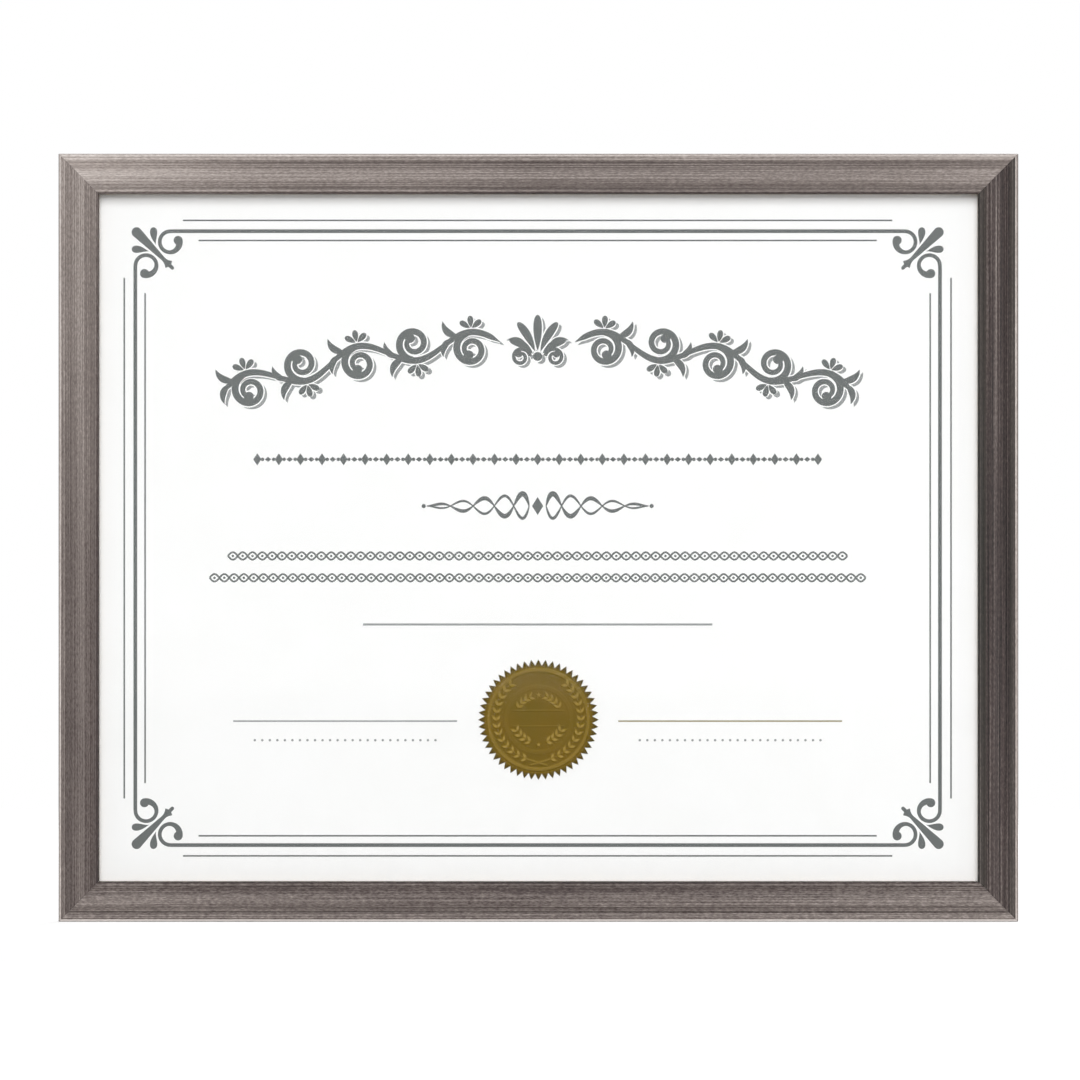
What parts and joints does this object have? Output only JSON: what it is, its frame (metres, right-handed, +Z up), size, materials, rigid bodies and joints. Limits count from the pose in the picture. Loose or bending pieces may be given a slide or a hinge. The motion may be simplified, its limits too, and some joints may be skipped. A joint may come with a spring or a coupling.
{
  "type": "certificate frame",
  "caption": "Landscape wall frame with mitred grey wood moulding, glazing, a bordered certificate with gold foil seal, backing board, turn buttons, sawtooth hangers and bumpers.",
  "frame": {"origin": "middle of the frame on the wall plane, which is the plane of the bumpers' rear faces", "axes": "+X to the right as seen from the front, +Y into the wall, +Z up; the front faces -Y"},
  "size_m": [0.3814, 0.0182, 0.3052],
  "materials": {
    "weathered_wood": "grey-taupe stained open-grain wood, satin, raw at the back",
    "clear_glass": "clear picture glass",
    "gold_foil": "embossed metallic gold foil on paper",
    "certificate_paper": "matte white certificate paper with grey print",
    "filler_card": "plain grey-brown board",
    "hardboard": "smooth brown hardboard",
    "zinc_steel": "zinc-plated steel",
    "brassed_steel": "brass-plated steel",
    "black_rubber": "matte rubber"
  },
  "bodies": {
    "frame": {"bottom_rail": "weathered_wood", "right_rail": "weathered_wood", "top_rail": "weathered_wood", "left_rail": "weathered_wood", "corner_v_nails": "zinc_steel", "glazing": "clear_glass", "foil_seal": "gold_foil", "certificate_sheet": "certificate_paper", "filler_board": "filler_card", "backing_board": "hardboard", "turn_button_screws": "zinc_steel", "sawtooth_hanger_landscape": "brassed_steel", "sawtooth_hanger_portrait": "brassed_steel", "hanger_nails": "brassed_steel", "wall_bumpers": "black_rubber"},
    "turn_button_bottom_left": {"turn_button_bottom_left": "zinc_steel"},
    "turn_button_bottom_right": {"turn_button_bottom_right": "zinc_steel"},
    "turn_button_top_left": {"turn_button_top_left": "zinc_steel"},
    "turn_button_top_right": {"turn_button_top_right": "zinc_steel"},
    "turn_button_left_upper": {"turn_button_left_upper": "zinc_steel"},
    "turn_button_left_lower": {"turn_button_left_lower": "zinc_steel"},
    "turn_button_right_upper": {"turn_button_right_upper": "zinc_steel"},
    "turn_button_right_lower": {"turn_button_right_lower": "zinc_steel"}
  },
  "joints": [
    {"name": "turn_button_bottom_left_pivot", "type": "hinge", "parent": "frame", "child": "turn_button_bottom_left", "pos_m": [-0.0889, -0.0026, -0.14665], "axis": [0, 1, 0], "continuous": true},
    {"name": "turn_button_bottom_right_pivot", "type": "hinge", "parent": "frame", "child": "turn_button_bottom_right", "pos_m": [0.0889, -0.0026, -0.14665], "axis": [0, 1, 0], "continuous": true},
    {"name": "turn_button_top_left_pivot", "type": "hinge", "parent": "frame", "child": "turn_button_top_left", "pos_m": [-0.0889, -0.0026, 0.14665], "axis": [0, 1, 0], "continuous": true},
    {"name": "turn_button_top_right_pivot", "type": "hinge", "parent": "frame", "child": "turn_button_top_right", "pos_m": [0.0889, -0.0026, 0.14665], "axis": [0, 1, 0], "continuous": true},
    {"name": "turn_button_left_upper_pivot", "type": "hinge", "parent": "frame", "child": "turn_button_left_upper", "pos_m": [-0.18475, -0.0026, 0.06985], "axis": [0, 1, 0], "continuous": true},
    {"name": "turn_button_left_lower_pivot", "type": "hinge", "parent": "frame", "child": "turn_button_left_lower", "pos_m": [-0.18475, -0.0026, -0.06985], "axis": [0, 1, 0], "continuous": true},
    {"name": "turn_button_right_upper_pivot", "type": "hinge", "parent": "frame", "child": "turn_button_right_upper", "pos_m": [0.18475, -0.0026, 0.06985], "axis": [0, 1, 0], "continuous": true},
    {"name": "turn_button_right_lower_pivot", "type": "hinge", "parent": "frame", "child": "turn_button_right_lower", "pos_m": [0.18475, -0.0026, -0.06985], "axis": [0, 1, 0], "continuous": true}
  ]
}
